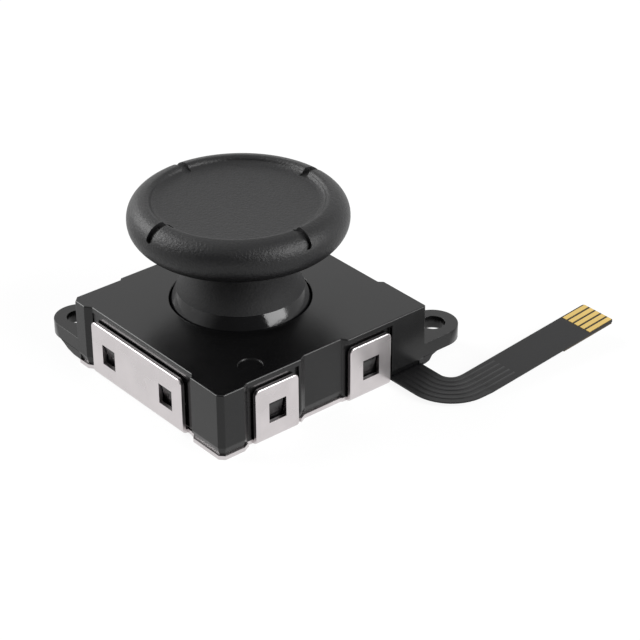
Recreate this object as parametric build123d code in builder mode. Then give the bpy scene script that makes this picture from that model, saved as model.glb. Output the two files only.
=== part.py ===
"""Analog thumb stick module for a game controller, with its tilt and press mechanism.

Millimetres, z up. The origin is on the stick's axis at the underside of the base plate.
"""
import os
from math import asin, cos, radians, sin, sqrt

from build123d import *

os.makedirs("parts", exist_ok=True)

# Outer size of the housing
x_low = -9.36
x_high = 9.00
y_low = -9.70
y_high = 7.52
top_z = 5.09
top_wall = 0.60
side_wall = 1.00
skirt_z = 0.94
skirt_inset = 0.18
top_chamfer = 0.06
rim_chamfer = 0.07
mark_r = 0.86
mark_deep = 0.10
mark_x = -5.30
mark_y = -7.80

# Steps and corners of the housing's side faces
left_recess = 0.36
right_recess = 0.31
section_y = y_low + 0.23
panel_y = y_low + 0.51
right_front_y = y_low + 0.10
ear_side_y = y_high - 0.20
pocket_depth = 0.44
pocket_z = 4.67

# Base plate and its folded tabs
plate_t = 0.30
plate_inset = 0.05
tab_t = 0.30
tab_proud = 0.03
tab_z = 4.28
tab_corner_r = 0.40
tab_bend_r = 0.45
tab_edge_r = 0.08
tab_relief = 0.45
wide_tab_y0 = -5.40
wide_tab_y1 = 5.06
right_tab_y0 = -4.72
window_w = 1.47
window_h = 1.55
window_z = 2.17
wide_windows = [-3.59, 3.03]
small_tab_w = 3.70
front_tabs_x = [-4.545, 3.75]
back_tabs_x = [-2.95, 3.75]
nub_w = 1.20
nub_out = 0.30
nub_top = 2.76
nub_low = 1.54

# Fixing ears
ear_r = 1.82
ear_hole_r = 0.90
ear_hole_chamfer = 0.15
ear_z0 = skirt_z
ear_z1 = 2.02
right_ear = (11.32, right_front_y + ear_r)
left_ear = (x_low + ear_r, 9.40)

# Tilt centre, dome and hole
pivot_z = 3.24
dome_r = 5.20
dome_wall = 0.30
dome_low_deg = 91.0
hole_gap = 0.14
inner_r = dome_r - dome_wall

# Flex circuit and its tail
film_t = 0.12
film_z = plate_t
film_top = film_z + film_t
film_x = 11.60
film_y = 13.60
tail_w = 3.00
tail_x = 7.18
tail_y = -13.95
tail_end_x = 22.00
tail_bend_x = 10.00
tail_rise = 1.15
tail_inner_r = 0.95
tail_outer_r = 3.30
tail_clip = 0.14
finger_count = 5
finger_pitch = 0.50
finger_w = 0.41
finger_len = 2.30
finger_t = 0.03
stiffener_len = 5.00
stiffener_t = 0.12

# Mechanism
post_out = inner_r - 0.28
post_in = post_out - 0.47
post_w = 1.50
post_top = pivot_z + 0.70
journal_r = 0.50
journal_gap = 0.05
trunnion_r = journal_r - journal_gap
ring_in = inner_r - 0.25
ring_out = ring_in + 0.80
ring_top = 0.75
side_gap = 0.10
rocker_end = post_in - side_gap
rocker_h = 0.90
finger_half = 0.30
finger_reach = 2.14
slot_gap = 0.04
stem_r = 0.70
stem_gap = 0.08
stem_tip_z = 0.80
slider_out = post_in - 0.05
slider_in = slider_out - 0.90
slider_len = 2.40
slider_z0 = 0.62
slider_z1 = 1.15
track_t = 0.03
track_half = 1.90
click_r = 1.60
click_h = 0.30
click_t = 0.06
cover_r = 2.30
cover_t = 0.05

# Cap, neck and core
cap_r = 7.75
cap_low_z = 9.74
crest_r = 6.48
crest_z = 12.96
head_h = crest_z - cap_low_z
cap_side_z = cap_low_z + 0.512 * head_h
lip_r = crest_r - 0.36
dish_r = crest_r - 0.70
dish_edge_z = crest_z - 0.130 * head_h
dish_z = crest_z - 0.161 * head_h
neck_r = 2.55
neck_z = 8.94
core_neck_r = 2.10
core_neck_z = 8.64
flare_r = dome_r - 0.70
bell_r = dome_r + 0.08
seat_r = dome_r - 0.15
core_disc_r = 5.50
core_disc_z0 = cap_low_z + 0.217 * head_h
core_disc_z1 = cap_low_z + 0.435 * head_h
notch_w = 0.38
notch_r0 = dish_r - 0.08
notch_r1 = cap_r - 0.33
notch_deep = 0.30


def slab(x0, x1, y0, y1, z0, z1):
    """A plain block between two corners, for use inside a part."""
    size = (x1 - x0, y1 - y0, z1 - z0)
    low_corner = Plane((-size[0] / 2, -size[1] / 2, -size[2] / 2))
    place = Pos((x0 + x1) / 2, (y0 + y1) / 2, (z0 + z1) / 2)
    return place * Solid.make_box(*size, low_corner)


def prism_x(points, x0, x1):
    """A prism along X from a closed list of (y, z) points."""
    face = Face(Wire.make_polygon([Vector(x0, y, z) for y, z in points], close=True))
    return Solid.extrude(face, Vector(x1 - x0, 0, 0))


def prism_y(points, y0, y1):
    """A prism along Y from a closed list of (x, z) points."""
    face = Face(Wire.make_polygon([Vector(x, y0, z) for x, z in points], close=True))
    return Solid.extrude(face, Vector(0, y1 - y0, 0))


def prism_z(points, z0, z1):
    """A prism along Z from a closed list of (x, y) points."""
    face = Face(Wire.make_polygon([Vector(x, y, z0) for x, y in points], close=True))
    return Solid.extrude(face, Vector(0, 0, z1 - z0))


def rod(start, end, r):
    """A round bar between two points."""
    a = Vector(*start)
    b = Vector(*end)
    return Solid.make_cylinder(r, (b - a).length, Plane(origin=a, z_dir=b - a))


def inset(points, amount):
    """An outline with every side moved inwards by a distance."""
    moved = []
    for i, (x, y) in enumerate(points):
        before = Vector(x, y) - Vector(*points[i - 1])
        after = Vector(*points[(i + 1) % len(points)]) - Vector(x, y)
        n1 = Vector(-before.Y, before.X).normalized()
        n2 = Vector(-after.Y, after.X).normalized()
        step = (n1 + n2) * (amount / (1 + n1.dot(n2)))
        moved.append((x + step.X, y + step.Y))
    return moved


def stack(points, levels):
    """A solid through one outline at several heights, each with its own inset."""
    wires = []
    for z, amount in levels:
        wires.append(Wire.make_polygon([Vector(x, y, z) for x, y in inset(points, amount)], close=True))
    return Solid.make_loft(wires, ruled=True)


# Housing
outline = [
    (x_low + 0.36, y_low), (-7.34, y_low), (-6.90, section_y), (-2.29, section_y), (-1.75, panel_y), (1.48, panel_y),
    (1.79, right_front_y), (x_high - 0.15, right_front_y), (x_high, right_front_y + 0.15), (x_high, -5.10),
    (x_high - right_recess, -4.80), (x_high - right_recess, 5.90), (x_high, 6.20), (x_high, y_high - 0.40),
    (x_high - 0.40, y_high), (-5.00, y_high), (-5.20, ear_side_y), (x_low + 0.42, ear_side_y),
    (x_low, ear_side_y - 0.42), (x_low, 5.86), (x_low + left_recess, 5.36), (x_low + left_recess, -6.10),
    (x_low, -6.50), (x_low, y_low + 0.36),
]

with BuildPart() as housing:
    # outer block, drawn in towards the plate at its foot, with a fine chamfer round its top
    add(stack(outline, [(plate_t, skirt_inset), (skirt_z, 0), (top_z - top_chamfer, 0), (top_z, top_chamfer)]))

    # pockets behind the tabs
    left_face = x_low + pocket_depth
    right_face = x_high - pocket_depth
    front_face = y_low + pocket_depth
    back_face = y_high - pocket_depth
    add(slab(x_low - 1, left_face, -6.00, wide_tab_y1 + 0.30, 0, pocket_z), mode=Mode.SUBTRACT)
    add(slab(right_face, x_high + 1, -4.80, wide_tab_y1 + 0.30, 0, pocket_z), mode=Mode.SUBTRACT)
    for tab_x in front_tabs_x:
        low = tab_x - small_tab_w / 2 - 0.50
        high = tab_x + small_tab_w / 2 + 0.22
        add(slab(low, high, y_low - 1, front_face, 0, pocket_z), mode=Mode.SUBTRACT)
    for tab_x in back_tabs_x:
        low = tab_x - small_tab_w / 2 - 0.15
        high = tab_x + small_tab_w / 2 + 0.35
        add(slab(low, high, back_face, y_high + 1, 0, pocket_z), mode=Mode.SUBTRACT)

    # ears with a web that runs down to the foot
    add(slab(x_high - 0.5, right_ear[0], right_ear[1] - ear_r, right_ear[1] + ear_r, ear_z0, ear_z1))
    add(rod((right_ear[0], right_ear[1], ear_z0), (right_ear[0], right_ear[1], ear_z1), ear_r))
    right_web = [(8.40, plate_t), (9.05, plate_t), (9.41, 0.41), (9.70, 0.78), (10.20, ear_z0), (8.40, ear_z0)]
    add(prism_y(right_web, right_ear[1] - ear_r + 0.02, right_ear[1] + ear_r - 0.10))
    add(slab(x_low, x_low + 2 * ear_r, ear_side_y - 0.5, left_ear[1], ear_z0, ear_z1))
    add(rod((left_ear[0], left_ear[1], ear_z0), (left_ear[0], left_ear[1], ear_z1), ear_r))
    left_web = [(6.70, plate_t), (7.30, plate_t), (7.70, 0.34), (8.00, 0.60), (8.25, ear_z0), (6.70, ear_z0)]
    add(prism_x(left_web, x_low + 0.02, x_low + 2 * ear_r - 0.10))
    left_rib = [(6.70, plate_t), (7.30, plate_t), (7.70, 0.33), (8.39, 0.49), (9.10, ear_z0), (6.70, ear_z0)]
    add(prism_x(left_rib, x_low + 0.02, left_ear[0] - ear_hole_r - 0.20))
    for ear in (right_ear, left_ear):
        add(rod((ear[0], ear[1], ear_z0 - 0.05), (ear[0], ear[1], ear_z1 + 0.05), ear_hole_r), mode=Mode.SUBTRACT)
        lead = Solid.make_cone(ear_hole_r + 2 * ear_hole_chamfer, ear_hole_r, 2 * ear_hole_chamfer,
                               Plane((ear[0], ear[1], ear_z0 - ear_hole_chamfer)))
        add(lead, mode=Mode.SUBTRACT)

    # inside space, open below
    in_x0 = x_low + side_wall
    in_x1 = x_high - side_wall
    in_y0 = y_low + side_wall
    in_y1 = y_high - side_wall
    add(slab(in_x0, in_x1, in_y0, in_y1, -1, top_z - top_wall), mode=Mode.SUBTRACT)
    # hole for the dome, wider below so that the dome clears it, with a chamfered rim
    rim_low_z = top_z - rim_chamfer
    hole_r = sqrt((dome_r + hole_gap) ** 2 - (rim_low_z - pivot_z) ** 2)
    hole_low_r = dome_r + 0.12
    hole = Solid.make_cone(hole_low_r, hole_r, top_wall - rim_chamfer, Plane((0, 0, top_z - top_wall)))
    add(hole, mode=Mode.SUBTRACT)
    add(Solid.make_cone(hole_r, hole_r + 2 * rim_chamfer, 2 * rim_chamfer, Plane((0, 0, rim_low_z))),
        mode=Mode.SUBTRACT)
    # way out for the tail under the front wall
    add(slab(tail_x - tail_w / 2 - 0.12, tail_x + tail_w / 2 + 0.12, y_low - 1, in_y0 + 0.1, 0, film_top + 0.08),
        mode=Mode.SUBTRACT)

    # latch nubs, thickest at the top ledge and ramped in below it
    for ny in wide_windows:
        for face, out in ((left_face, -1), (right_face, 1)):
            ramp = [(face - out * 0.2, nub_low), (face, nub_low), (face + out * nub_out, nub_top - 0.1),
                    (face + out * nub_out, nub_top), (face - out * 0.2, nub_top)]
            add(prism_y(ramp, ny - nub_w / 2, ny + nub_w / 2))
    for tabs, face, out in ((front_tabs_x, front_face, -1), (back_tabs_x, back_face, 1)):
        for nx in tabs:
            ramp = [(face - out * 0.2, nub_low), (face, nub_low), (face + out * nub_out, nub_top - 0.1),
                    (face + out * nub_out, nub_top), (face - out * 0.2, nub_top)]
            add(prism_x(ramp, nx - nub_w / 2, nx + nub_w / 2))

    # shallow round mark on the top
    add(rod((mark_x, mark_y, top_z - mark_deep), (mark_x, mark_y, top_z + 1), mark_r), mode=Mode.SUBTRACT)
housing.part.label = "housing"

# Base plate with folded tabs
tab_x0 = x_low - tab_proud
tab_x1 = x_high + tab_proud
tab_y0 = y_low - tab_proud
tab_y1 = y_high + tab_proud


def side_tab(along, low, high, face, out, windows):
    """A tab bent up from the plate, with rounded top corners and windows; along is the axis it runs on."""
    flat = face - out * tab_bend_r
    inner = face - out * tab_t
    small = tab_bend_r - tab_t
    turn = sqrt(0.5)
    with BuildPart() as tab:
        plane = Plane.YZ.offset(low) if along == "x" else Plane.XZ.offset(-low)
        with BuildSketch(plane):
            with BuildLine():
                Line((flat - out * 0.5, 0), (flat, 0))
                ThreePointArc((flat, 0), (flat + out * tab_bend_r * turn, tab_bend_r * (1 - turn)), (face, tab_bend_r))
                Polyline((face, tab_bend_r), (face, tab_z), (inner, tab_z), (inner, tab_bend_r))
                ThreePointArc((inner, tab_bend_r), (flat + out * small * turn, tab_bend_r - small * turn), (flat, plate_t))
                Polyline((flat, plate_t), (flat - out * 0.5, plate_t), (flat - out * 0.5, 0))
            make_face()
        extrude(amount=(high - low) if along == "x" else -(high - low))
        across = Axis.Y if along == "x" else Axis.X
        fillet(tab.edges().filter_by(across).group_by(Axis.Z)[-1], radius=tab_corner_r)
        # a fine rounding round the outer face, from bend to bend
        sheet = tab.faces().filter_by(across).sort_by(across)[-1 if out > 0 else 0]
        fillet(sheet.edges().sort_by(Axis.Z)[1:], radius=tab_edge_r)
        for w in windows:
            z0 = window_z - window_h / 2
            z1 = window_z + window_h / 2
            if along == "x":
                hole_box = slab(w - window_w / 2, w + window_w / 2, face - 0.4, face + 0.4, z0, z1)
            else:
                hole_box = slab(face - 0.4, face + 0.4, w - window_w / 2, w + window_w / 2, z0, z1)
            add(hole_box, mode=Mode.SUBTRACT)
    return tab.part


left_tab = side_tab("y", wide_tab_y0, wide_tab_y1, tab_x0, -1, wide_windows)
right_tab = side_tab("y", right_tab_y0, wide_tab_y1, tab_x1, 1, wide_windows)
front_tabs = [side_tab("x", x - small_tab_w / 2, x + small_tab_w / 2, tab_y0, -1, [x]) for x in front_tabs_x]
back_tabs = [side_tab("x", x - small_tab_w / 2, x + small_tab_w / 2, tab_y1, 1, [x]) for x in back_tabs_x]

with BuildPart() as base_plate:
    add(prism_z(inset(outline, plate_inset), 0, plate_t))
    # set back at every tab, with a relief notch on both sides of it
    root = tab_bend_r + 0.05
    add(slab(tab_x0 - 1, tab_x0 + root, wide_tab_y0 - tab_relief, wide_tab_y1 + tab_relief, -1, 1),
        mode=Mode.SUBTRACT)
    add(slab(tab_x1 - root, tab_x1 + 1, right_tab_y0 - tab_relief, wide_tab_y1 + tab_relief, -1, 1),
        mode=Mode.SUBTRACT)
    for x in front_tabs_x:
        half = small_tab_w / 2 + tab_relief
        add(slab(x - half, x + half, tab_y0 - 1, tab_y0 + root, -1, 1), mode=Mode.SUBTRACT)
    for x in back_tabs_x:
        half = small_tab_w / 2 + tab_relief
        add(slab(x - half, x + half, tab_y1 - root, tab_y1 + 1, -1, 1), mode=Mode.SUBTRACT)
    # cut back under the tail, between the tab and the corner
    add(slab(front_tabs_x[1] + small_tab_w / 2 + 0.2, x_high + 1, y_low - 1, y_low + 0.45, -1, 1), mode=Mode.SUBTRACT)
    # a small round hole for the assembly pin
    add(rod((-6.4, 4.6, -1), (-6.4, 4.6, 1), 0.6), mode=Mode.SUBTRACT)
    for piece in [left_tab, right_tab] + front_tabs + back_tabs:
        add(piece)
base_plate.part.label = "base_plate"

# Flex circuit with its tail
tail_x0 = tail_x - tail_w / 2
tail_x1 = tail_x + tail_w / 2
leg_y0 = tail_y - tail_w / 2
leg_y1 = tail_y + tail_w / 2
film_x1 = x_high - side_wall - 0.08
film_y0 = y_low + side_wall + 0.06
lead_x0 = 2.00
lead_y1 = -6.00


def leg_z(x):
    """Height of the leg's underside at x."""
    return film_z + tail_rise * (x - tail_bend_x) / (tail_end_x - tail_bend_x)


def leg_strip(x0, x1, y0, y1, low, high):
    """A strip that follows the leg's slope, between two heights above its underside."""
    pts = [(x0, leg_z(x0) + low), (x1, leg_z(x1) + low), (x1, leg_z(x1) + high), (x0, leg_z(x0) + high)]
    return prism_y(pts, y0, y1)


with BuildPart() as flex_circuit:
    with BuildSketch(Plane.XY.offset(film_z)) as film_outline:
        with Locations((-0.10, -1.40)):
            RectangleRounded(film_x, film_y, 1.0)
        with Locations(((lead_x0 + film_x1) / 2, (film_y0 + lead_y1) / 2)):
            Rectangle(film_x1 - lead_x0, lead_y1 - film_y0)
        with Locations(((tail_x0 + tail_x1) / 2, (film_y0 + leg_y0) / 2)):
            Rectangle(tail_w, film_y0 - leg_y0)
        with Locations(((tail_x0 + tail_bend_x) / 2, tail_y)):
            Rectangle(tail_bend_x - tail_x0, tail_w)
        outer = film_outline.vertices().sort_by_distance(Vector(tail_x0, leg_y0, film_z))[0]
        fillet(outer, radius=tail_outer_r)
        inner = film_outline.vertices().sort_by_distance(Vector(tail_x1, leg_y1, film_z))[0]
        fillet(inner, radius=tail_inner_r)
    extrude(amount=film_t)
    leg = [(tail_bend_x, film_z), (tail_end_x, leg_z(tail_end_x)), (tail_end_x, leg_z(tail_end_x) + film_t),
           (tail_bend_x, film_z + film_t)]
    add(prism_y(leg, leg_y0, leg_y1))
    # clipped corners at the end
    for y, side in ((leg_y0, 1), (leg_y1, -1)):
        clip = [(tail_end_x - tail_clip, y - side * 0.01), (tail_end_x + 0.01, y - side * 0.01),
                (tail_end_x + 0.01, y + side * tail_clip)]
        add(prism_z(clip, 0, 3), mode=Mode.SUBTRACT)
flex_circuit.part.label = "flex_circuit"

finger_x1 = tail_end_x - 0.04
finger_x0 = tail_end_x - finger_len
with BuildPart() as contact_fingers:
    for i in range(finger_count):
        y = tail_y + (i - (finger_count - 1) / 2) * finger_pitch
        add(leg_strip(finger_x0, finger_x1, y - finger_w / 2, y + finger_w / 2, film_t, film_t + finger_t))
contact_fingers.part.label = "contact_fingers"

with BuildPart() as tail_stiffener:
    add(leg_strip(tail_end_x - stiffener_len, tail_end_x - 0.16, leg_y0 + 0.02, leg_y1 - 0.02, -stiffener_t, 0))
tail_stiffener.part.label = "tail_stiffener"

# Resistor tracks, two bars under each wiper
track_lanes = [slider_in + 0.20, slider_out - 0.20]
with BuildPart() as carbon_tracks_x:
    for lane in track_lanes:
        add(slab(-track_half, track_half, -lane - 0.13, -lane + 0.13, film_top, film_top + track_t))
carbon_tracks_x.part.label = "carbon_tracks_x"

with BuildPart() as carbon_tracks_y:
    for lane in track_lanes:
        add(slab(lane - 0.13, lane + 0.13, -track_half, track_half, film_top, film_top + track_t))
carbon_tracks_y.part.label = "carbon_tracks_y"


def cap_radius(base_r, height):
    """Radius of the sphere whose cap has this base radius and height."""
    return (base_r * base_r + height * height) / (2 * height)


# Snap dome and its cover film
with BuildPart() as click_dome:
    big = cap_radius(click_r, click_h)
    big_mid = (click_r / 2, film_top + click_h - big + sqrt(big * big - click_r * click_r / 4))
    low_h = click_h - click_t
    low_r = click_r - 0.22
    small = cap_radius(low_r, low_h)
    small_mid = (low_r / 2, film_top + low_h - small + sqrt(small * small - low_r * low_r / 4))
    with BuildSketch(Plane.XZ):
        with BuildLine():
            ThreePointArc((0, film_top + click_h), big_mid, (click_r, film_top))
            Line((click_r, film_top), (low_r, film_top))
            ThreePointArc((low_r, film_top), small_mid, (0, film_top + low_h))
            Line((0, film_top + low_h), (0, film_top + click_h))
        make_face()
    revolve(axis=Axis.Z)
click_dome.part.label = "click_dome"

with BuildPart() as dome_film:
    over_r = click_r + 0.10
    over = cap_radius(over_r, click_h)
    over_top = film_top + cover_t
    over_mid = (click_r / 2, over_top + click_h - over + sqrt(over * over - click_r * click_r / 4))
    with BuildSketch(Plane.XZ):
        with BuildLine():
            ThreePointArc((0, over_top + click_h), over_mid, (over_r, over_top))
            Polyline((over_r, over_top), (cover_r, over_top), (cover_r, film_top), (0, film_top),
                     (0, over_top + click_h))
        make_face()
    revolve(axis=Axis.Z)
    with BuildSketch(Plane.XZ):
        with BuildLine():
            ThreePointArc((0, film_top + click_h), big_mid, (click_r, film_top))
            Polyline((click_r, film_top), (0, film_top), (0, film_top + click_h))
        make_face()
    revolve(axis=Axis.Z, mode=Mode.SUBTRACT)
dome_film.part.label = "dome_film"

# Journal posts on a ring
rail_y0 = slider_in - 0.25
rail_y1 = slider_in - 0.05
with BuildPart() as gimbal_frame:
    with BuildSketch(Plane.XY.offset(film_top)):
        Circle(ring_out)
        Circle(ring_in, mode=Mode.SUBTRACT)
    extrude(amount=ring_top - film_top)
    reach = sqrt((ring_in + 0.1) ** 2 - rail_y1 ** 2)
    add(slab(-reach, reach, -rail_y1, -rail_y0, film_top, ring_top))
    add(slab(rail_y0, rail_y1, -reach, reach, film_top, ring_top))
    for turn in (0, 90, 180, 270):
        post = slab(post_in, post_out, -post_w / 2, post_w / 2, film_top, post_top)
        foot = slab(post_in, ring_in + 0.4, -post_w / 2, post_w / 2, film_top, ring_top)
        add(Rot(0, 0, turn) * post)
        add(Rot(0, 0, turn) * foot)
    add(rod((-ring_out, 0, pivot_z), (ring_out, 0, pivot_z), journal_r), mode=Mode.SUBTRACT)
    add(rod((0, -ring_out, pivot_z), (0, ring_out, pivot_z), journal_r), mode=Mode.SUBTRACT)
gimbal_frame.part.label = "gimbal_frame"

# Lower rocker: a ring that tilts about Y, with a finger down to the slider at the front
lower_x = 2.10
lower_in_x = 1.55
lower_in_y = slider_in + 0.25
rocker_z0 = pivot_z - rocker_h / 2
rocker_z1 = pivot_z + rocker_h / 2
pin_hole_r = 0.40
finger_t_half = 0.22
tip_z = pivot_z - finger_reach
with BuildPart() as lower_rocker:
    add(slab(-lower_x, lower_x, -rocker_end, rocker_end, rocker_z0, rocker_z1))
    add(slab(-lower_in_x, lower_in_x, -lower_in_y, lower_in_y, rocker_z0 - 1, rocker_z1 + 1), mode=Mode.SUBTRACT)
    add(rod((0, rocker_end - 0.2, pivot_z), (0, post_out - 0.02, pivot_z), trunnion_r))
    add(rod((0, -rocker_end + 0.2, pivot_z), (0, -post_out + 0.02, pivot_z), trunnion_r))
    add(rod((-lower_x - 1, 0, pivot_z), (lower_x + 1, 0, pivot_z), pin_hole_r), mode=Mode.SUBTRACT)
    add(slab(-finger_t_half, finger_t_half, -rocker_end, -lower_in_y, tip_z, rocker_z0 + 0.1))
    add(rod((0, -rocker_end, tip_z), (0, -lower_in_y, tip_z), finger_half))
lower_rocker.part.label = "lower_rocker"

# Bush that guides the stem, hinged about X in the lower rocker
bush_x = lower_in_x - 0.10
bush_y = 1.10
bush_z0 = pivot_z - 0.45
bush_z1 = pivot_z + 0.60
with BuildPart() as pivot_bush:
    add(slab(-bush_x, bush_x, -bush_y, bush_y, bush_z0, bush_z1))
    fillet(pivot_bush.edges().filter_by(Axis.Z), radius=0.25)
    add(rod((-lower_x + 0.05, 0, pivot_z), (lower_x - 0.05, 0, pivot_z), pin_hole_r - 0.04))
    add(rod((0, 0, bush_z0 - 1), (0, 0, bush_z1 + 1), stem_r + stem_gap), mode=Mode.SUBTRACT)
pivot_bush.part.label = "pivot_bush"

# Foot with a domed underside centred on the pivot
foot_r = 1.55
foot_dome = pivot_z - 0.85
foot_top = 1.66
foot_bore = stem_r + stem_gap + 0.05
with BuildPart() as centring_foot:
    with BuildSketch(Plane.XZ):
        with BuildLine():
            za = pivot_z - sqrt(foot_dome ** 2 - foot_bore ** 2)
            zb = pivot_z - sqrt(foot_dome ** 2 - foot_r ** 2)
            rm = (foot_bore + foot_r) / 2
            zm = pivot_z - sqrt(foot_dome ** 2 - rm ** 2)
            ThreePointArc((foot_bore, za), (rm, zm), (foot_r, zb))
            Polyline((foot_r, zb), (foot_r, foot_top), (foot_bore, foot_top), (foot_bore, za))
        make_face()
    revolve(axis=Axis.Z)
centring_foot.part.label = "centring_foot"

# Coil spring between the bush and the foot
wire_r = 0.09
spring_r = 1.12
spring_turns = 2.5
spring_z0 = foot_top + wire_r + 0.005
spring_h = bush_z0 - wire_r - 0.005 - spring_z0
with BuildPart() as centring_spring:
    coil = Wire(Edge.make_helix(pitch=spring_h / spring_turns, height=spring_h, radius=spring_r,
                                center=(0, 0, spring_z0)))
    with BuildSketch(Plane(origin=coil @ 0, z_dir=coil % 0)):
        Circle(wire_r)
    sweep(path=coil)
centring_spring.part.label = "centring_spring"


def on_sphere(radius, angle):
    """Point on a sphere round the pivot, angle from the stick's axis."""
    return (radius * sin(angle), pivot_z + radius * cos(angle))


def flare(radius, top_r, end_r, end_z):
    """The points of a neck that leaves a sphere round the pivot and narrows upwards."""
    start = on_sphere(radius, asin(top_r / radius))
    points = [start]
    for across, up in ((0.64, 0.24), (0.31, 0.475), (0.10, 0.74), (0, 1)):
        points.append((end_r + across * (start[0] - end_r), start[1] + up * (end_z - start[1])))
    return points


# Stick core: stem, flared root and domed skirt turned in one profile
skirt_low = radians(dome_low_deg)
flare_angle = asin(flare_r / dome_r)
seat_top_r = flare_r - 0.80
bell_top_r = flare_r - 0.50
roof_z = pivot_z + 2.33
roof_r = sqrt(inner_r ** 2 - (roof_z - pivot_z) ** 2)
root_r = 1.50
root_z = pivot_z + 4.30
roof = [(root_r + across * (roof_r - root_r), roof_z + up * (root_z - roof_z))
        for across, up in ((0, 1), (0.078, 0.797), (0.214, 0.503), (0.427, 0.228), (0.712, 0.061), (1, 0))]
press_r = pivot_z - stem_tip_z
tip_r = stem_r - 0.12
core_flare = flare(seat_r, seat_top_r, core_neck_r, core_neck_z)
seat_mid = on_sphere(seat_r, (flare_angle + asin(seat_top_r / seat_r)) / 2)
seat_turn = Vector(pivot_z - core_flare[0][1], core_flare[0][0])
core_curve = Edge.make_spline([Vector(*p) for p in core_flare], tangents=[seat_turn, Vector(0, 1)])
with BuildPart() as stick_core:
    with BuildSketch(Plane.XZ):
        with BuildLine():
            tip_edge = (tip_r, pivot_z - sqrt(press_r ** 2 - tip_r ** 2))
            tip_mid = (tip_r / 2, pivot_z - sqrt(press_r ** 2 - tip_r ** 2 / 4))
            ThreePointArc((0, stem_tip_z), tip_mid, tip_edge)
            Polyline(tip_edge, (stem_r, stem_tip_z + 0.25), (stem_r, root_z), *roof)
            mid_angle = radians(74)
            ThreePointArc((roof_r, roof_z), on_sphere(inner_r, mid_angle), on_sphere(inner_r, skirt_low))
            Line(on_sphere(inner_r, skirt_low), on_sphere(dome_r, skirt_low))
            ThreePointArc(on_sphere(dome_r, skirt_low), on_sphere(dome_r, mid_angle), on_sphere(dome_r, flare_angle))
            Line(on_sphere(dome_r, flare_angle), on_sphere(seat_r, flare_angle))
            ThreePointArc(on_sphere(seat_r, flare_angle), seat_mid, core_flare[0])
            add(core_curve)
            Polyline((core_neck_r, core_neck_z), (core_neck_r, core_disc_z0), (core_disc_r, core_disc_z0),
                     (core_disc_r, core_disc_z1), (0, core_disc_z1), (0, stem_tip_z))
        make_face()
    revolve(axis=Axis.Z)
stick_core.part.label = "stick_core"

# Rubber thumb cap over the core
cap_flare = flare(bell_r, bell_top_r, neck_r, neck_z)
bell_mid = on_sphere(bell_r, (flare_angle + asin(bell_top_r / bell_r)) / 2)
bell_turn = (pivot_z - cap_flare[0][1], cap_flare[0][0])
with BuildPart() as notches:
    with BuildSketch(Plane.XY.offset(crest_z + 0.5)):
        with PolarLocations((notch_r0 + notch_r1) / 2, 4):
            SlotOverall(notch_r1 - notch_r0, notch_w)
    extrude(amount=cap_side_z - crest_z)
    # what stays under the notches, a fixed depth below the ring's surface
    with BuildSketch(Plane.XZ):
        with BuildLine():
            low = notch_deep
            Line((cap_r - low, cap_side_z - 1), (cap_r - low, cap_side_z))
            ThreePointArc((cap_r - low, cap_side_z), (cap_r - 0.35 - low * 0.7, crest_z - 0.155 * head_h - low * 0.7),
                          (crest_r, crest_z - low))
            Polyline((crest_r, crest_z - low), (notch_r0 - 0.2, dish_edge_z - low * 0.4), (0, dish_edge_z - low * 0.4),
                     (0, cap_side_z - 1), (cap_r - low, cap_side_z - 1))
        make_face()
    revolve(axis=Axis.Z, mode=Mode.SUBTRACT)

with BuildPart() as thumb_cap:
    with BuildSketch(Plane.XZ):
        with BuildLine():
            Line(on_sphere(seat_r, flare_angle), on_sphere(bell_r, flare_angle))
            ThreePointArc(on_sphere(bell_r, flare_angle), bell_mid, cap_flare[0])
            Spline(*cap_flare, tangents=(bell_turn, (0, 1)))
            ThreePointArc((neck_r, neck_z), (neck_r + 0.23, cap_low_z - 0.29), (neck_r + 0.80, cap_low_z - 0.08))
            Line((neck_r + 0.80, cap_low_z - 0.08), (cap_r - 1.70, cap_low_z))
            ThreePointArc((cap_r - 1.70, cap_low_z), (cap_r - 0.53, cap_low_z + 0.149 * head_h), (cap_r, cap_side_z))
            ThreePointArc((cap_r, cap_side_z), (cap_r - 0.35, crest_z - 0.155 * head_h), (crest_r, crest_z))
            ThreePointArc((crest_r, crest_z), (crest_r - 0.22, crest_z - 0.010 * head_h), (lip_r, crest_z - 0.037 * head_h))
            ThreePointArc((lip_r, crest_z - 0.037 * head_h), (lip_r - 0.12, crest_z - 0.102 * head_h), (dish_r, dish_edge_z))
            Polyline((dish_r, dish_edge_z), (dish_r / 2, (dish_edge_z + 2 * dish_z) / 3), (0, dish_z),
                     (0, core_disc_z1), (core_disc_r, core_disc_z1), (core_disc_r, core_disc_z0),
                     (core_neck_r, core_disc_z0), (core_neck_r, core_neck_z))
            add(core_curve)
            ThreePointArc(core_flare[0], seat_mid, on_sphere(seat_r, flare_angle))
        make_face()
    revolve(axis=Axis.Z)
    add(notches.part, mode=Mode.SUBTRACT)
thumb_cap.part.label = "thumb_cap"

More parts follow.
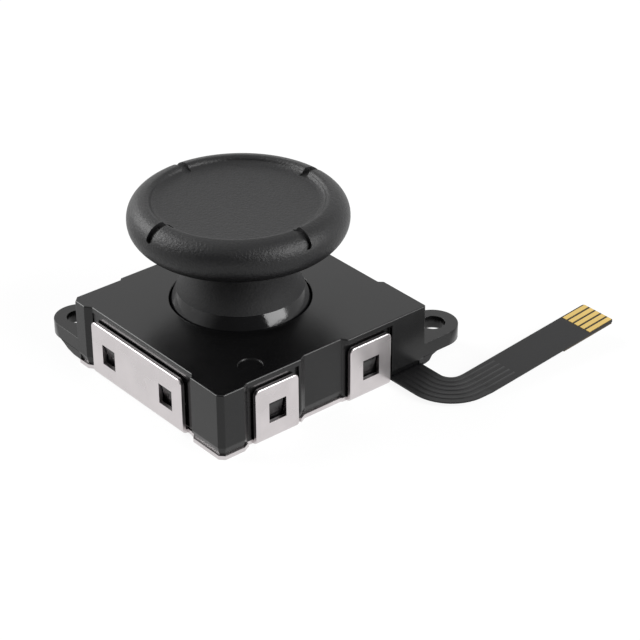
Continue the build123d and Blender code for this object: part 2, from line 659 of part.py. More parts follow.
# Upper rocker: a slotted arch that tilts about X, with a finger down to the slider at the right
arch_in = 2.60
arch_out = 3.15
arch_half = 1.30
arch_foot = arch_in + 0.15
slot_half = stem_r + 0.10
slot_reach = 1.75
with BuildPart() as upper_rocker:
    add(Solid.make_cylinder(arch_out, 2 * arch_half, Plane(origin=(0, -arch_half, pivot_z), z_dir=(0, 1, 0))))
    add(Solid.make_cylinder(arch_in, 2 * arch_half + 1, Plane(origin=(0, -arch_half - 0.5, pivot_z), z_dir=(0, 1, 0))),
        mode=Mode.SUBTRACT)
    add(slab(-arch_out - 1, arch_out + 1, -arch_half - 1, arch_half + 1, pivot_z - arch_out - 1, rocker_z0),
        mode=Mode.SUBTRACT)
    add(slab(-slot_reach, slot_reach, -slot_half, slot_half, pivot_z, pivot_z + arch_out + 1), mode=Mode.SUBTRACT)
    for side in (-1, 1):
        low = min(side * arch_foot, side * rocker_end)
        high = max(side * arch_foot, side * rocker_end)
        add(slab(low, high, -0.75, 0.75, rocker_z0, rocker_z1))
        add(rod((side * (rocker_end - 0.2), 0, pivot_z), (side * (post_out - 0.02), 0, pivot_z), trunnion_r))
    add(slab(lower_in_y, rocker_end, -finger_t_half, finger_t_half, tip_z, rocker_z0 + 0.1))
    add(rod((lower_in_y, 0, tip_z), (rocker_end, 0, tip_z), finger_half))
upper_rocker.part.label = "upper_rocker"


def slider_body():
    """Slider along X with a slot that takes a rocker's finger."""
    with BuildPart() as body:
        add(slab(-slider_len / 2, slider_len / 2, -slider_out, -slider_in, slider_z0, slider_z1))
        slot_w = finger_half + slot_gap
        add(slab(-slot_w, slot_w, -rocker_end - 0.5, -lower_in_y + 0.06, slider_z0 + 0.12, slider_z1 + 1),
            mode=Mode.SUBTRACT)
    return body.part


def wiper_leaf():
    """Two-armed leaf under a slider, with a rounded contact at each arm's end."""
    with BuildPart() as leaf:
        add(slab(-0.95, 0.95, -slider_out + 0.06, -slider_in - 0.06, slider_z0 - 0.06, slider_z0))
        add(slab(-0.60, 0.60, -slider_out + 0.36, -slider_in - 0.36, slider_z0 - 0.2, slider_z0 + 0.2),
            mode=Mode.SUBTRACT)
        for lane in track_lanes:
            bump_r = 0.11
            z = film_top + track_t + 0.005 + bump_r
            add(rod((0, -lane - 0.10, z), (0, -lane + 0.10, z), bump_r))
    return leaf.part


with BuildPart() as x_slider:
    add(slider_body())
x_slider.part.label = "x_slider"

with BuildPart() as x_wiper:
    add(wiper_leaf())
x_wiper.part.label = "x_wiper"

with BuildPart() as y_slider:
    add(Rot(0, 0, 90) * slider_body())
y_slider.part.label = "y_slider"

with BuildPart() as y_wiper:
    add(Rot(0, 0, 90) * wiper_leaf())
y_wiper.part.label = "y_wiper"

# Export, one file per node
for name, node in (
    ("housing", housing), ("base_plate", base_plate), ("flex_circuit", flex_circuit),
    ("contact_fingers", contact_fingers), ("tail_stiffener", tail_stiffener), ("carbon_tracks_x", carbon_tracks_x),
    ("carbon_tracks_y", carbon_tracks_y), ("click_dome", click_dome), ("dome_film", dome_film),
    ("gimbal_frame", gimbal_frame), ("lower_rocker", lower_rocker), ("pivot_bush", pivot_bush),
    ("centring_foot", centring_foot), ("centring_spring", centring_spring), ("stick_core", stick_core),
    ("thumb_cap", thumb_cap), ("upper_rocker", upper_rocker), ("x_slider", x_slider), ("x_wiper", x_wiper),
    ("y_slider", y_slider), ("y_wiper", y_wiper),
):
    export_step(node.part, "parts/" + name + ".step")
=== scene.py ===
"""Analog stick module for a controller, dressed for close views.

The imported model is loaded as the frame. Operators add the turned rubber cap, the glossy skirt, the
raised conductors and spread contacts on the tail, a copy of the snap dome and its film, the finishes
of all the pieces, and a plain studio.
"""
import math

import bmesh
import bpy
from bpy.props import FloatProperty, FloatVectorProperty, PointerProperty
from mathutils import Matrix, Vector


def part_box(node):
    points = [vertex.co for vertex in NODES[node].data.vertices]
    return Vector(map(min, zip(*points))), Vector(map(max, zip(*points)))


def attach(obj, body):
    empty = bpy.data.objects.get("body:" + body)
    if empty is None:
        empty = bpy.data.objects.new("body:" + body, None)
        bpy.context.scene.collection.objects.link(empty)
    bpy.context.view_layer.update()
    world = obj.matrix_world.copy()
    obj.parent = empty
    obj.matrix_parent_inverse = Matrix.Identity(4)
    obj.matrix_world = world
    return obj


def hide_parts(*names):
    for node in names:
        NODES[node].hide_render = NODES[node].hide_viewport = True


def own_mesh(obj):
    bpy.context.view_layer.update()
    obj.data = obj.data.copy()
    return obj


bl_info = {
    "name": "Analog Stick Module",
    "version": (1, 0, 0),
    "blender": (4, 5, 0),
    "location": "View3D > Sidebar > Stick",
    "description": "Builds the visible pieces, finishes and studio of a controller's analog stick",
    "category": "Object",
}

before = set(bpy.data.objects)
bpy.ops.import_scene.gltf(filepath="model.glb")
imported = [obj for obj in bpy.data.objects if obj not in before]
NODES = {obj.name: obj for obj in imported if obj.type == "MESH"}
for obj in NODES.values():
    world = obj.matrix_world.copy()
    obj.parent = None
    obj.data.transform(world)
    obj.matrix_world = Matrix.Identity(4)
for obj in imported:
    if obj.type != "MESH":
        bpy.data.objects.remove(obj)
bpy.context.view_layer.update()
MM = 0.001
DOUBLES = 0.001 * MM

# Turned pieces, in mm. Skirt and bell follow spheres round the pivot; the rubber sits on the skirt
# along the seat, which both share. A neck is a radius and a height.
PIVOT_Z = 3.24
DOME_R = 5.25
DOME_IN_R = 4.90
SEAT_R = 5.05
BELL_R = 5.30
FLARE_R = 4.50
SEAT_TOP_R = 3.70
BELL_TOP_R = 4.00
CORE_NECK = (2.10, 8.64)
NECK = (2.55, 8.94)
DISC_R, DISC_LOW, DISC_TOP = 5.50, 10.44, 11.14
FLARE_ANGLE = math.asin(FLARE_R / DOME_R)
FLARE_SHAPE = ((0.64, 0.24), (0.31, 0.475), (0.10, 0.74), (0, 1))
SKIRT_EDGE_ANGLE = math.radians(86.5)
NOTCHES = 4
AROUND = 128

# Stem inside the skirt, in mm, and how far over the pivot the roof meets the skirt's inside
STEM_R = 0.70
STEM_FOOT = 1.05
STEM_TOP = PIVOT_Z + 4.30
TIP_BALL_R = PIVOT_Z - 0.80
TIP_RADII = (0, 0.15, 0.30, 0.45, 0.58)
ROOF_EDGE_RISE = 2.33

# Tail, in mm: the middle of its first run, its film's top, the centres of its bend at the outer and
# the inner edge, and the leg that rises to its end
TAIL_X = 7.18
TAIL_WIDTH = 3.0
TAIL_TOP = 0.42
TAIL_START = -9.30
OUTER_BEND = (8.98, -12.15)
INNER_BEND = (9.63, -11.50)
TAIL_FLAT_X = 10.00
TAIL_SLOPE = 1.15 / 12

# Conductors on the tail, and the contacts as the node has them, in mm
CONDUCTORS = 5
CONDUCTOR_PITCH = 0.5
CONDUCTOR_END = 13.20
CONDUCTOR_SINK = 0.005
STRIP_LENGTH = 0.1
PAD_PITCH = 0.50
PAD_WIDTH = 0.41

# Camera of the photograph: its place in mm, its turns in radians and its lens in mm
CAMERA_PLACE = (-79.80, -104.64, 80.57)
CAMERA_YAW = -0.694
CAMERA_PITCH = 0.533
CAMERA_ROLL = -0.006
CAMERA_LENS = 120.88

# Studio, in metres: place and size of each lamp, the point that they face, the floor, and the
# direction of the room's near side
LEFT_LAMP = ((-0.148, 0.272, 0.20), (0.32, 0.20))
RIGHT_LAMP = ((0.120, -0.285, 0.165), (0.22, 0.24))
LAMP_AIM = (0, 0, 0.005)
FLOOR_SIZE = 0.5
FLOOR_Z = -0.00002
NEAR_SIDE = (-0.61, -0.79, 0.0)


# Selecting and modelling helpers

def clear_selection():
    """Back to object mode with nothing selected."""
    if bpy.context.object and bpy.context.object.mode != "OBJECT":
        bpy.ops.object.mode_set(mode="OBJECT")
    bpy.ops.object.select_all(action="DESELECT")


def make_active(obj):
    """Selects one object alone and makes it active."""
    clear_selection()
    obj.select_set(True)
    bpy.context.view_layer.objects.active = obj


def place_in_mesh(obj):
    """Puts an object's place, turn and size into its mesh."""
    make_active(obj)
    bpy.ops.object.transform_apply(location=True, rotation=True, scale=True)


def apply_modifier(obj, kind, **settings):
    """Adds a modifier, sets it and applies it."""
    make_active(obj)
    bpy.ops.object.modifier_add(type=kind)
    modifier = obj.modifiers[-1]
    for key, value in settings.items():
        setattr(modifier, key, value)
    bpy.ops.object.modifier_apply(modifier=modifier.name)


def round_edges(obj, width, degrees):
    """Bevels the edges that turn more than the angle; the width is in mm."""
    apply_modifier(obj, "BEVEL", width=width * MM, segments=2, limit_method="ANGLE",
                   angle_limit=math.radians(degrees))


def smooth_by_angle(obj, degrees):
    """Smooth shading, sharp across edges that turn more than the angle."""
    make_active(obj)
    bpy.ops.object.shade_smooth_by_angle(angle=math.radians(degrees))


def joined(objects):
    """Joins the objects into the first one."""
    make_active(objects[0])
    for obj in objects[1:]:
        obj.select_set(True)
    bpy.ops.object.join()
    return bpy.context.object


def select_edges(obj, test):
    """In edit mode, selects the edges whose two ends, in mm, pass the test."""
    mesh = bmesh.from_edit_mesh(obj.data)
    bpy.ops.mesh.select_mode(type="EDGE")
    bpy.ops.mesh.select_all(action="DESELECT")
    for edge in mesh.edges:
        if test(*(v.co / MM for v in edge.verts)):
            edge.select_set(True)
    bmesh.update_edit_mesh(obj.data)


def extrude(x, y, z):
    """In edit mode, extrudes what is selected by a step in mm."""
    step = (x * MM, y * MM, z * MM)
    bpy.ops.mesh.extrude_region_move(TRANSFORM_OT_translate={"value": step})


def merge_doubles():
    """In edit mode, merges the points that lie on one another."""
    bpy.ops.mesh.select_all(action="SELECT")
    bpy.ops.mesh.remove_doubles(threshold=DOUBLES)


def rounded(points, sharp=(), steps=5):
    """A finer profile on a smooth line through the points, straight where both ends are sharp."""
    out = []
    last = len(points) - 1
    for i in range(last):
        a, b = Vector(points[i]), Vector(points[i + 1])
        if i in sharp and i + 1 in sharp:
            out.append(tuple(a))
            continue
        before = Vector(points[i - 1]) if i > 0 and i not in sharp else a - (b - a)
        after = Vector(points[i + 2]) if i + 2 <= last and i + 1 not in sharp else b + (b - a)
        for k in range(steps):
            t = k / steps
            p = 0.5 * ((2 * a) + (b - before) * t
                       + (2 * before - 5 * a + 4 * b - after) * t * t
                       + (3 * a - before - 3 * b + after) * t * t * t)
            out.append((max(p.x, 0.0), p.y))
    out.append(tuple(points[-1]))
    return out


def on_ball(radius, angle):
    """Point on a sphere round the pivot, angle from the stick's axis."""
    return (radius * math.sin(angle), PIVOT_Z + radius * math.cos(angle))


def ball_arc(radius, start, end, steps):
    """Points along a sphere round the pivot between two angles."""
    return [on_ball(radius, start + (end - start) * k / steps) for k in range(steps + 1)]


def flare(radius, top_r, end):
    """A neck's profile: up a sphere round the pivot, then narrowing to its end.

    The point before the start only steers the curve, and the arc already ends on the start, so the
    first five points of the rounded line are left out.
    """
    top_angle = math.asin(top_r / radius)
    start = on_ball(radius, top_angle)
    before = on_ball(radius, top_angle + 0.05)
    points = [before, start]
    for across, up in FLARE_SHAPE:
        points.append((end[0] + across * (start[0] - end[0]), start[1] + up * (end[1] - start[1])))
    return ball_arc(radius, FLARE_ANGLE, top_angle, 6) + rounded(points, steps=4)[5:]


def turned(name, profile):
    """A turned piece: (radius, height) points in mm, extruded and spun round the stick's axis."""
    clear_selection()
    r, z = profile[0]
    bpy.ops.mesh.primitive_plane_add(size=0.1 * MM, location=(r * MM, 0, z * MM))
    obj = bpy.context.object
    obj.name = name
    obj.data.name = name
    place_in_mesh(obj)
    bpy.ops.object.mode_set(mode="EDIT")
    bpy.ops.mesh.select_mode(type="VERT")
    bpy.ops.mesh.select_all(action="SELECT")
    bpy.ops.mesh.merge(type="CENTER")
    for (ra, za), (rb, zb) in zip(profile, profile[1:]):
        extrude(rb - ra, 0, zb - za)
    bpy.ops.mesh.select_all(action="SELECT")
    bpy.ops.mesh.spin(steps=AROUND, angle=2 * math.pi, center=(0, 0, 0), axis=(0, 0, 1))
    merge_doubles()
    bpy.ops.mesh.normals_make_consistent(inside=False)
    bpy.ops.object.mode_set(mode="OBJECT")
    return obj


def merged_copy(node_name, name):
    """A new piece with a node's mesh, its loose triangles joined."""
    piece = bpy.data.objects.new(name, NODES[node_name].data.copy())
    bpy.context.scene.collection.objects.link(piece)
    make_active(piece)
    bpy.ops.object.mode_set(mode="EDIT")
    merge_doubles()
    bpy.ops.mesh.tris_convert_to_quads()
    bpy.ops.object.mode_set(mode="OBJECT")
    return piece


# Node helpers

def add_node(tree, kind, inputs=None, **settings):
    """A shader node with its settings and the constants on its inputs."""
    node = tree.nodes.new("ShaderNode" + kind)
    for key, value in settings.items():
        setattr(node, key, value)
    for key, value in (inputs or {}).items():
        node.inputs[key].default_value = value
    return node


def wire(tree, *rows):
    """Links in a node tree, each from a node's output to a node's input."""
    for source, output, target, socket in rows:
        tree.links.new(source.outputs[output], target.inputs[socket])


def new_group(name, values, results):
    """A shader node group with its inputs' values and its outputs' kinds."""
    group = bpy.data.node_groups.new(name, "ShaderNodeTree")
    for key, value in values.items():
        kind = "NodeSocketColor" if isinstance(value, tuple) else "NodeSocketFloat"
        socket = group.interface.new_socket(name=key, in_out="INPUT", socket_type=kind)
        socket.default_value = value
    for key, kind in results.items():
        group.interface.new_socket(name=key, in_out="OUTPUT", socket_type=kind)
    return group, group.nodes.new("NodeGroupInput"), group.nodes.new("NodeGroupOutput")


# Surface effects that the materials share

def build_grain(name):
    """Two sizes of noise as relief: the mould's texture and a finer one in it."""
    group, start, end = new_group(
        name, {"Size": 8000.0, "Fine size": 26000.0, "Depth": 0.3, "Distance": 0.00002},
        {"Normal": "NodeSocketVector"})
    place = add_node(group, "TexCoord")
    coarse = add_node(group, "TexNoise", {"Detail": 2.0})
    fine = add_node(group, "TexNoise", {"Detail": 1.0})
    both = add_node(group, "Math", {1: 0.4}, operation="MULTIPLY_ADD")
    bump = add_node(group, "Bump")
    wire(group,
         (place, "Object", coarse, "Vector"), (place, "Object", fine, "Vector"),
         (start, "Size", coarse, "Scale"), (start, "Fine size", fine, "Scale"),
         (fine, "Fac", both, 0), (coarse, "Fac", both, 2), (both, 0, bump, "Height"),
         (start, "Depth", bump, "Strength"), (start, "Distance", bump, "Distance"),
         (bump, "Normal", end, "Normal"))
    return group


def build_drift(name):
    """Slow change between two tones and two levels of roughness over a surface."""
    group, start, end = new_group(
        name,
        {"Low tone": (0.02, 0.02, 0.02, 1), "High tone": (0.03, 0.03, 0.03, 1), "Size": 300.0,
         "Low roughness": 0.3, "High roughness": 0.4},
        {"Color": "NodeSocketColor", "Roughness": "NodeSocketFloat"})
    place = add_node(group, "TexCoord")
    noise = add_node(group, "TexNoise", {"Detail": 3.0})
    spread = add_node(group, "MapRange", {"From Min": 0.35, "From Max": 0.65})
    mix = add_node(group, "Mix", data_type="RGBA")
    rough = add_node(group, "Mix", data_type="FLOAT")
    wire(group,
         (place, "Object", noise, "Vector"), (start, "Size", noise, "Scale"),
         (noise, "Fac", spread, "Value"),
         (spread, "Result", mix, "Factor"), (spread, "Result", rough, "Factor"),
         (start, "Low tone", mix, "A"), (start, "High tone", mix, "B"),
         (start, "Low roughness", rough, "A"), (start, "High roughness", rough, "B"),
         (mix, "Result", end, "Color"), (rough, "Result", end, "Roughness"))
    return group


def build_rolled(name):
    """Long fine scratches of rolled sheet metal, as relief."""
    group, start, end = new_group(
        name, {"Depth": 0.1, "Distance": 0.00001}, {"Normal": "NodeSocketVector"})
    place = add_node(group, "TexCoord")
    stretch = add_node(group, "Mapping", {"Scale": (300, 300, 9000)})
    noise = add_node(group, "TexNoise", {"Scale": 1.0, "Detail": 3.0})
    bump = add_node(group, "Bump")
    wire(group,
         (place, "Object", stretch, "Vector"), (stretch, "Vector", noise, "Vector"),
         (noise, "Fac", bump, "Height"),
         (start, "Depth", bump, "Strength"), (start, "Distance", bump, "Distance"),
         (bump, "Normal", end, "Normal"))
    return group


EFFECTS = {"Grain": build_grain, "Tone drift": build_drift, "Rolled lines": build_rolled}


def add_effect(tree, name, values):
    """A use of a shared effect with its own values; the effect is built at its first use."""
    node = add_node(tree, "Group", node_tree=bpy.data.node_groups.get(name) or EFFECTS[name](name))
    for key, value in values.items():
        node.inputs[key].default_value = value
    return node


# Materials

def new_material(name, constants):
    """A material with its node tree and its main shader, which holds the plain constants."""
    material = bpy.data.materials.new(name)
    material.use_nodes = True
    tree = material.node_tree
    shader = tree.nodes["Principled BSDF"]
    for key, value in constants.items():
        shader.inputs[key].default_value = value
    return material, tree, shader


def tone(colour, factor):
    """A colour made lighter or darker, with alpha 1."""
    return tuple(min(channel * factor, 1) for channel in colour) + (1,)


def surface(name, colour, tones, size, roughness, relief, values, constants):
    """A finish whose tone and roughness drift between two levels, with a relief over it."""
    material, tree, shader = new_material(name, constants)
    bumps = add_effect(tree, relief, values)
    drift = add_effect(tree, "Tone drift", {
        "Low tone": tone(colour, tones[0]), "High tone": tone(colour, tones[1]), "Size": size,
        "Low roughness": roughness[0], "High roughness": roughness[1]})
    wire(tree, (drift, "Color", shader, "Base Color"), (drift, "Roughness", shader, "Roughness"),
         (bumps, "Normal", shader, "Normal"))
    return material


def plastic(name, colour, roughness, size=9000, depth=0.25, specular=0.5):
    """Moulded plastic with a fine mould texture."""
    return surface(
        name, colour, (0.88, 1.12), 260, (roughness - 0.03, roughness + 0.03),
        "Grain", {"Size": size, "Fine size": size * 3.1, "Depth": depth, "Distance": 0.00001},
        {"Specular IOR Level": specular})


def gloss(name, colour, roughness):
    """Polished moulding with a faint orange peel."""
    return surface(
        name, colour, (0.9, 1.1), 500, (roughness - 0.03, roughness + 0.04),
        "Grain", {"Size": 2600, "Fine size": 7000, "Depth": 0.35, "Distance": 0.00002},
        {"Specular IOR Level": 0.42})


def metal(name, colour, roughness, lines=0.08):
    """Rolled sheet metal with fine lines."""
    return surface(
        name, colour, (0.94, 1.04), 420, (roughness - 0.05, roughness + 0.06),
        "Rolled lines", {"Depth": lines, "Distance": 0.000008},
        {"Metallic": 1.0})


def film(name, colour, roughness, alpha=1.0):
    """Thin polymer film with very shallow waves."""
    return surface(
        name, colour, (0.85, 1.15), 700, (roughness - 0.04, roughness + 0.05),
        "Grain", {"Size": 900, "Fine size": 9000, "Depth": 0.25, "Distance": 0.00002},
        {"Specular IOR Level": 0.32, "Alpha": alpha})


def rubber(name, colour):
    """Matte rubber with a fine pebble and a little grit in its tone, duller down on the neck."""
    material, tree, shader = new_material(name, {"Specular IOR Level": 0.32})
    place = add_node(tree, "TexCoord")
    cells = add_node(tree, "TexVoronoi", feature="SMOOTH_F1")
    cells.inputs["Scale"].default_value = 5200
    cells.inputs["Smoothness"].default_value = 0.6
    grit = add_node(tree, "TexNoise", {"Scale": 14000, "Detail": 2})
    both = add_node(tree, "Math", {1: -0.8}, operation="MULTIPLY_ADD")
    bump = add_node(tree, "Bump", {"Strength": 0.7, "Distance": 0.00003})
    shade = add_node(tree, "ValToRGB")
    for element, position, factor in zip(shade.color_ramp.elements, (0.30, 0.75), (0.80, 1.25)):
        element.position = position
        element.color = tone(colour, factor)
    height = add_node(tree, "SeparateXYZ")
    dull = add_node(tree, "MapRange", {"From Min": 8.4 * MM, "From Max": 10.2 * MM,
                                       "To Min": 0.70, "To Max": 0.42})
    wire(tree,
         (place, "Object", height, "Vector"), (height, "Z", dull, "Value"),
         (dull, "Result", shader, "Roughness"),
         (place, "Object", cells, "Vector"), (place, "Object", grit, "Vector"),
         (cells, "Distance", both, 0), (grit, "Fac", both, 2), (both, 0, bump, "Height"),
         (bump, "Normal", shader, "Normal"),
         (grit, "Fac", shade, "Fac"), (shade, "Color", shader, "Base Color"))
    return material


def give(obj, material):
    """Puts a material in every slot of an object."""
    if not obj.data.materials:
        obj.data.materials.append(material)
    for i in range(len(obj.data.materials)):
        obj.data.materials[i] = material


# Settings

class STICK_PG_cap(bpy.types.PropertyGroup):
    radius: FloatProperty(
        name="Radius", description="Outer radius of the cap in mm", default=7.75, min=5, max=9)
    crest_height: FloatProperty(
        name="Crest height", description="Height of the raised ring in mm", default=12.95)
    dish_height: FloatProperty(
        name="Dish height", description="Height of the dish's middle in mm", default=12.44)
    notch_width: FloatProperty(
        name="Notch width", description="Width of the ring's notches in mm", default=0.58)
    notch_depth: FloatProperty(
        name="Notch depth", description="Depth of the ring's notches in mm", default=0.28)
    colour: FloatVectorProperty(
        name="Rubber", description="Colour of the rubber", subtype="COLOR",
        default=(0.0065, 0.0065, 0.007), min=0, max=1)


class STICK_PG_skirt(bpy.types.PropertyGroup):
    colour: FloatVectorProperty(
        name="Skirt", description="Colour of the glossy skirt", subtype="COLOR",
        default=(0.004, 0.004, 0.0045), min=0, max=1)
    roughness: FloatProperty(
        name="Roughness", description="Roughness of the skirt", subtype="FACTOR",
        default=0.14, min=0, max=1)


class STICK_PG_shell(bpy.types.PropertyGroup):
    plastic_colour: FloatVectorProperty(
        name="Housing", description="Colour of the housing", subtype="COLOR",
        default=(0.0035, 0.0035, 0.0037), min=0, max=1)
    steel_colour: FloatVectorProperty(
        name="Tabs", description="Colour of the base plate and its tabs", subtype="COLOR",
        default=(0.62, 0.585, 0.59), min=0, max=1)
    edge_round: FloatProperty(
        name="Edge rounding", description="Radius on the shell's edges in mm",
        default=0.03, min=0.01, max=0.1)


class STICK_PG_tail(bpy.types.PropertyGroup):
    film_colour: FloatVectorProperty(
        name="Film", description="Colour of the flex circuit", subtype="COLOR",
        default=(0.006, 0.006, 0.0065), min=0, max=1)
    gold_colour: FloatVectorProperty(
        name="Contacts", description="Colour of the plated contacts", subtype="COLOR",
        default=(0.80, 0.57, 0.19), min=0, max=1)
    pad_pitch: FloatProperty(
        name="Contact pitch", description="Distance between contacts in mm", default=0.58)
    pad_width: FloatProperty(
        name="Contact width", description="Width of a contact in mm", default=0.40)
    conductor_width: FloatProperty(
        name="Conductor width", description="Width of a raised conductor in mm", default=0.26)
    conductor_rise: FloatProperty(
        name="Conductor rise", description="Height of a raised conductor in mm", default=0.022)


class STICK_PG_stage(bpy.types.PropertyGroup):
    floor_colour: FloatVectorProperty(
        name="Floor", description="Colour of the floor", subtype="COLOR",
        default=(0.94, 0.94, 0.94), min=0, max=1)
    left_power: FloatProperty(
        name="Left lamp", description="Strength of the left lamp", default=1.40, min=0)
    right_power: FloatProperty(
        name="Right lamp", description="Strength of the right lamp", default=1.45, min=0)
    fill: FloatProperty(
        name="Fill", description="Level of the even light from all round", default=0.16, min=0)


# Pieces

class STICK_OT_cap(bpy.types.Operator):
    """Turn the rubber thumb cap and cut the four notches in its raised ring"""
    bl_idname = "stick.cap"
    bl_label = "Thumb cap"
    bl_options = {"REGISTER", "UNDO"}

    def execute(self, context):
        s = context.scene.stick_cap
        crest = s.crest_height
        dish = s.dish_height
        neck = flare(BELL_R, BELL_TOP_R, NECK)
        under = [NECK, (2.78, 9.45), (3.35, 9.66), (6.05, 9.74), (6.75, 9.92)]
        side = [(7.30, 10.34), (7.64, 10.86), (s.radius, 11.42), (7.67, 11.98), (7.40, 12.46)]
        ring = [(6.98, 12.80), (6.48, crest), (6.25, 12.93), (6.10, 12.82), (5.99, 12.68)]
        top = [(5.76, 12.57), (5.36, 12.52), (3.60, 12.48), (1.80, dish + 0.015)]
        head = rounded(under + side + ring + top, sharp=(2, 3), steps=4)
        inside = [(0, dish), (0, DISC_TOP), (DISC_R, DISC_TOP), (DISC_R, DISC_LOW),
                  (CORE_NECK[0], DISC_LOW)]
        seat = flare(SEAT_R, SEAT_TOP_R, CORE_NECK)
        cap = turned("cap_rubber", neck[:-1] + head + inside + seat[::-1] + neck[:1])
        self.cut_notches(cap, s)
        smooth_by_angle(cap, 40)
        give(cap, rubber("Cap rubber", s.colour))
        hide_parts("thumb_cap")
        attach(cap, "stick")
        return {"FINISHED"}

    def cut_notches(self, cap, s):
        """Cuts round-ended slots down to a floor that follows the ring, open to the dish."""
        deep = s.notch_depth
        crest = s.crest_height
        foot = 10.4
        dish_floor = 12.54 - deep * 0.4
        over_ring = rounded(
            [(s.radius - deep, 11.42), (7.67 - deep, 11.90),
             (7.40 - deep * 0.8, 12.46 - deep * 0.6), (6.98 - deep * 0.5, 12.80 - deep * 0.85),
             (6.48, crest - deep)], steps=3)
        kept = turned("notch_floor", [(0, foot), (s.radius - deep, foot)] + over_ring
                      + [(5.50, dish_floor), (0, dish_floor), (0, foot)])
        across_top = (1.60, 1.8, (6.50, crest - 0.40), 0)
        down_side = (1.30, 1.0, (7.31, 12.48), math.radians(55))
        for length, height, place, tilt in (across_top, down_side):
            turns = [k * 2 * math.pi / NOTCHES for k in range(NOTCHES)]
            size = (length, s.notch_width, height)
            tool = joined([self.slot(size, place, tilt, turn) for turn in turns])
            apply_modifier(tool, "BOOLEAN", operation="DIFFERENCE", object=kept, solver="EXACT")
            apply_modifier(cap, "BOOLEAN", operation="DIFFERENCE", object=tool, solver="EXACT")
            bpy.data.objects.remove(tool)
        bpy.data.objects.remove(kept)
        round_edges(cap, 0.04, 50)

    def slot(self, size, place, tilt, turn):
        """A box with one end rounded to nearly half its width, tilted and turned to its place."""
        clear_selection()
        bpy.ops.mesh.primitive_cube_add(size=1 * MM)
        cutter = bpy.context.object
        cutter.scale = size
        place_in_mesh(cutter)
        bpy.ops.object.mode_set(mode="EDIT")
        select_edges(cutter, lambda a, b: a.x > 0 and b.x > 0 and abs(a.z - b.z) > 0.1)
        bpy.ops.mesh.bevel(offset=size[1] * 0.49 * MM, segments=8, affect="EDGES")
        bpy.ops.object.mode_set(mode="OBJECT")
        r, z = place
        cutter.rotation_euler = (0, tilt, turn)
        cutter.location = (r * math.cos(turn) * MM, r * math.sin(turn) * MM, z * MM)
        place_in_mesh(cutter)
        return cutter


class STICK_OT_skirt(bpy.types.Operator):
    """Turn the glossy domed skirt with its stem"""
    bl_idname = "stick.skirt"
    bl_label = "Glossy skirt"
    bl_options = {"REGISTER", "UNDO"}

    def execute(self, context):
        s = context.scene.stick_skirt
        tip = [(r, PIVOT_Z - math.sqrt(TIP_BALL_R ** 2 - r ** 2)) for r in TIP_RADII]
        stem = tip + [(STEM_R, STEM_FOOT), (STEM_R, STEM_TOP)]
        roof_angle = math.acos(ROOF_EDGE_RISE / DOME_IN_R)
        roof = rounded(
            [(1.50, STEM_TOP), (1.72, PIVOT_Z + 3.90), (2.10, PIVOT_Z + 3.32),
             (2.70, PIVOT_Z + 2.78), (3.50, PIVOT_Z + 2.45), on_ball(DOME_IN_R, roof_angle)],
            steps=3)
        inside = ball_arc(DOME_IN_R, roof_angle, SKIRT_EDGE_ANGLE, 10)[1:]
        outside = ball_arc(DOME_R, SKIRT_EDGE_ANGLE, FLARE_ANGLE, 16)
        seat = flare(SEAT_R, SEAT_TOP_R, CORE_NECK)
        disc = [(CORE_NECK[0], DISC_LOW), (DISC_R, DISC_LOW), (DISC_R, DISC_TOP), (0, DISC_TOP)]
        skirt = turned("skirt_gloss", stem + roof + inside + outside + seat + disc)
        smooth_by_angle(skirt, 35)
        give(skirt, gloss("Skirt gloss", s.colour, s.roughness))
        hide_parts("stick_core")
        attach(skirt, "stick")
        return {"FINISHED"}


class STICK_OT_shell(bpy.types.Operator):
    """Round the shell's edges and finish the housing and base plate"""
    bl_idname = "stick.shell"
    bl_label = "Housing and base plate"
    bl_options = {"REGISTER", "UNDO"}

    def execute(self, context):
        s = context.scene.stick_shell
        self.soften(NODES["housing"], s.edge_round, clamp=False)
        self.soften(NODES["base_plate"], s.edge_round, clamp=True)
        give(NODES["housing"], plastic("Housing plastic", s.plastic_colour, 0.24,
                                       size=7000, depth=0.22, specular=0.36))
        give(NODES["base_plate"], metal("Tab steel", s.steel_colour, 0.30))
        return {"FINISHED"}

    def soften(self, node, radius, clamp):
        """Live modifiers that join the node's triangles and round its edges."""
        weld = node.modifiers.new("Join", "WELD")
        weld.merge_threshold = 0.0005 * MM
        bevel = node.modifiers.new("Edges", "BEVEL")
        bevel.width = radius * MM
        bevel.use_clamp_overlap = clamp
        bevel.segments = 2
        bevel.limit_method = "ANGLE"
        bevel.angle_limit = math.radians(40)
        bevel.harden_normals = True
        bevel.miter_outer = "MITER_ARC"


